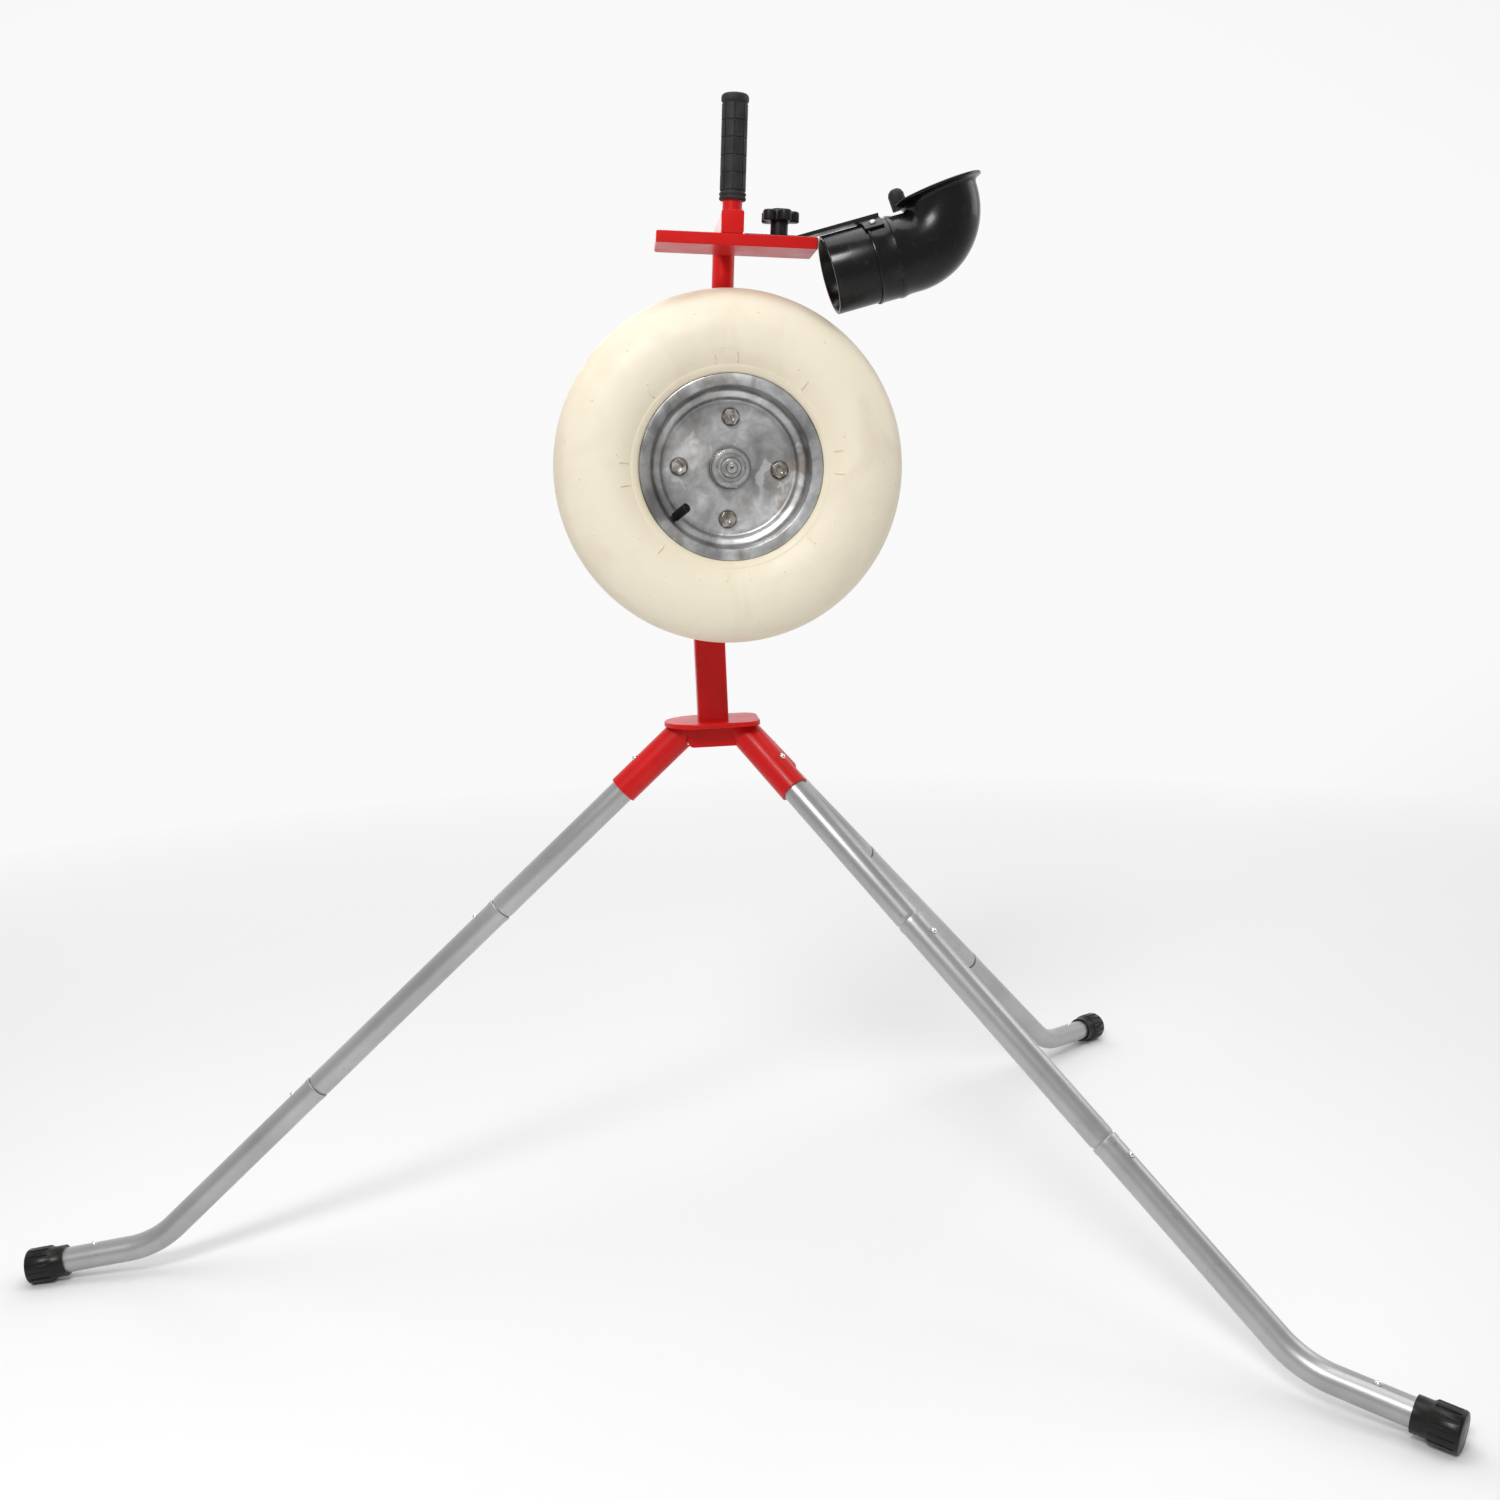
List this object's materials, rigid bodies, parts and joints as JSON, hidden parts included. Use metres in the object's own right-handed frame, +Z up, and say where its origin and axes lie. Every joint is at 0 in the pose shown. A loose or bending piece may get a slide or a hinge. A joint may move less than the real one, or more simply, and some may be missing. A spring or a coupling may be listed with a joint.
{
  "type": "baseball pitching machine",
  "caption": "Single-wheel baseball pitching machine: motor-driven cream tyre under a pressure bar, black feed elbow, red swivelling head on a take-down tripod.",
  "frame": {"origin": "centre of the bounding box of the machine at floor level, under the feet", "axes": "+X points away from the throwing direction, towards the feed chute; +Y points from the wheel to the motor behind it; +Z is up; the ball leaves towards -X"},
  "size_m": [1.6168, 1.2488, 1.4097],
  "materials": {
    "red_paint": "glossy red powder coat over steel",
    "leg_tube": "satin silver-grey tube",
    "foot_rubber": "black moulded rubber, ribbed",
    "spring_steel": "blue-grey spring steel",
    "bright_steel": "bright plated steel",
    "zinc_steel": "zinc-plated steel, slightly browned",
    "strap_paint": "black paint over steel",
    "knob_plastic": "black moulded plastic",
    "grip_rubber": "soft black rubber",
    "tyre_rubber": "smooth cream rubber",
    "tube_rubber": "black rubber",
    "cast_rim": "cast aluminium with stains",
    "hub_steel": "turned steel",
    "rotor_steel": "laminated steel and windings",
    "bearing_steel": "ground bearing steel",
    "magnet": "dark ferrite",
    "motor_paint": "satin black paint",
    "box_paint": "fine-textured black paint",
    "circuit_board": "green circuit board",
    "chute_plastic": "glossy black ABS pipe"
  },
  "bodies": {
    "tripod": {"tripod_plate": "red_paint", "tripod_block": "red_paint", "leg_sockets": "red_paint", "column": "red_paint", "upper_leg_tubes": "leg_tube", "middle_leg_tubes": "leg_tube", "front_foot_tube": "leg_tube", "rear_left_foot_tube": "leg_tube", "rear_right_foot_tube": "leg_tube", "rubber_tips": "foot_rubber", "snap_springs": "spring_steel"},
    "swivel": {"swivel_bracket": "red_paint", "tilt_bolts": "zinc_steel"},
    "swivel_knob": {"swivel_knob": "knob_plastic"},
    "tilt_knob": {"tilt_knob": "knob_plastic"},
    "head": {"motor_plate": "red_paint", "motor_bolts": "zinc_steel", "upper_post": "red_paint", "arm": "red_paint", "handle_tube": "red_paint", "hand_grip": "grip_rubber", "pressure_bar": "red_paint", "motor_end_bells": "motor_paint", "motor_casing": "motor_paint", "motor_bearings": "bearing_steel", "motor_magnets": "magnet", "control_box": "box_paint", "control_lid": "box_paint", "power_inlet": "knob_plastic", "speed_board": "circuit_board"},
    "chute_knob": {"chute_knob": "knob_plastic"},
    "speed_dial": {"speed_dial": "knob_plastic"},
    "power_rocker": {"power_rocker": "knob_plastic"},
    "wheel": {"tyre": "tyre_rubber", "inner_tube": "tube_rubber", "rim_front": "cast_rim", "rim_rear": "cast_rim", "rim_bolts": "zinc_steel", "drive_hub": "hub_steel", "axle_nut": "zinc_steel", "valve_cap": "knob_plastic", "motor_shaft": "hub_steel", "motor_rotor": "rotor_steel"},
    "chute": {"chute_pipe": "chute_plastic", "chute_elbow": "chute_plastic", "chute_strap": "strap_paint", "chute_rivets": "zinc_steel", "lip_bumper": "grip_rubber"},
    "front_snap_button_1": {"front_snap_button_1": "bright_steel"},
    "front_snap_button_2": {"front_snap_button_2": "bright_steel"},
    "front_snap_button_3": {"front_snap_button_3": "bright_steel"},
    "front_snap_button_4": {"front_snap_button_4": "bright_steel"},
    "rear_left_snap_button_1": {"rear_left_snap_button_1": "bright_steel"},
    "rear_left_snap_button_2": {"rear_left_snap_button_2": "bright_steel"},
    "rear_left_snap_button_3": {"rear_left_snap_button_3": "bright_steel"},
    "rear_left_snap_button_4": {"rear_left_snap_button_4": "bright_steel"},
    "rear_right_snap_button_1": {"rear_right_snap_button_1": "bright_steel"},
    "rear_right_snap_button_2": {"rear_right_snap_button_2": "bright_steel"},
    "rear_right_snap_button_3": {"rear_right_snap_button_3": "bright_steel"},
    "rear_right_snap_button_4": {"rear_right_snap_button_4": "bright_steel"}
  },
  "joints": [
    {"name": "head_swivel", "type": "hinge", "parent": "tripod", "child": "swivel", "pos_m": [0.11399, 0, 0.8053], "axis": [0, 0, 1], "continuous": true},
    {"name": "head_tilt", "type": "hinge", "parent": "swivel", "child": "head", "pos_m": [0.11399, -0.0333, 0.89], "axis": [0, 1, 0], "range_deg": [-14.2, 35.8]},
    {"name": "wheel_spin", "type": "hinge", "parent": "head", "child": "wheel", "pos_m": [0.13918, -0.1235, 1.00095], "axis": [0, -1, 0], "continuous": true},
    {"name": "chute_slide", "type": "slide", "parent": "head", "child": "chute", "axis": [0.9973, 0, -0.0732], "range_m": [0, 0.02]},
    {"name": "chute_knob_turn", "type": "hinge", "parent": "head", "child": "chute_knob", "pos_m": [0.20845, -0.1235, 1.26429], "axis": [0.0732, 0, 0.9973], "range_deg": [0, 360]},
    {"name": "tilt_knob_turn", "type": "hinge", "parent": "swivel", "child": "tilt_knob", "pos_m": [0.15899, 0, 0.89], "axis": [0, 1, 0], "range_deg": [0, 360]},
    {"name": "swivel_knob_turn", "type": "hinge", "parent": "swivel", "child": "swivel_knob", "pos_m": [0.11399, 0.045, 0.828], "axis": [0, 1, 0], "range_deg": [0, 360]},
    {"name": "speed_dial_turn", "type": "hinge", "parent": "head", "child": "speed_dial", "pos_m": [0.20576, 0.034, 1.08831], "axis": [0.9973, 0, -0.0732], "range_deg": [0, 270]},
    {"name": "power_rocker_tip", "type": "hinge", "parent": "head", "child": "power_rocker", "pos_m": [0.19279, 0.074, 1.08926], "axis": [0, 1, 0], "range_deg": [-8, 8]},
    {"name": "front_snap_button_1_press", "type": "slide", "parent": "tripod", "child": "front_snap_button_1", "axis": [0.6626, 0, -0.749], "range_m": [0, 0.0067], "stiffness_N_per_m": 500},
    {"name": "front_snap_button_2_press", "type": "slide", "parent": "tripod", "child": "front_snap_button_2", "axis": [0.6626, 0, -0.749], "range_m": [0, 0.0052], "stiffness_N_per_m": 500},
    {"name": "front_snap_button_3_press", "type": "slide", "parent": "tripod", "child": "front_snap_button_3", "axis": [0.6626, 0, -0.749], "range_m": [0, 0.0052], "stiffness_N_per_m": 500},
    {"name": "front_snap_button_4_press", "type": "slide", "parent": "tripod", "child": "front_snap_button_4", "axis": [0.1132, 0, -0.9936], "range_m": [0, 0.0037], "stiffness_N_per_m": 500},
    {"name": "rear_left_snap_button_1_press", "type": "slide", "parent": "tripod", "child": "rear_left_snap_button_1", "axis": [-0.4846, 0.4519, -0.749], "range_m": [0, 0.0067], "stiffness_N_per_m": 500},
    {"name": "rear_left_snap_button_2_press", "type": "slide", "parent": "tripod", "child": "rear_left_snap_button_2", "axis": [-0.4846, 0.4519, -0.749], "range_m": [0, 0.0052], "stiffness_N_per_m": 500},
    {"name": "rear_left_snap_button_3_press", "type": "slide", "parent": "tripod", "child": "rear_left_snap_button_3", "axis": [-0.4846, 0.4519, -0.749], "range_m": [0, 0.0052], "stiffness_N_per_m": 500},
    {"name": "rear_left_snap_button_4_press", "type": "slide", "parent": "tripod", "child": "rear_left_snap_button_4", "axis": [-0.0828, 0.0772, -0.9936], "range_m": [0, 0.0037], "stiffness_N_per_m": 500},
    {"name": "rear_right_snap_button_1_press", "type": "slide", "parent": "tripod", "child": "rear_right_snap_button_1", "axis": [-0.4846, -0.4519, -0.749], "range_m": [0, 0.0067], "stiffness_N_per_m": 500},
    {"name": "rear_right_snap_button_2_press", "type": "slide", "parent": "tripod", "child": "rear_right_snap_button_2", "axis": [-0.4846, -0.4519, -0.749], "range_m": [0, 0.0052], "stiffness_N_per_m": 500},
    {"name": "rear_right_snap_button_3_press", "type": "slide", "parent": "tripod", "child": "rear_right_snap_button_3", "axis": [-0.4846, -0.4519, -0.749], "range_m": [0, 0.0052], "stiffness_N_per_m": 500},
    {"name": "rear_right_snap_button_4_press", "type": "slide", "parent": "tripod", "child": "rear_right_snap_button_4", "axis": [-0.0828, -0.0772, -0.9936], "range_m": [0, 0.0037], "stiffness_N_per_m": 500}
  ]
}
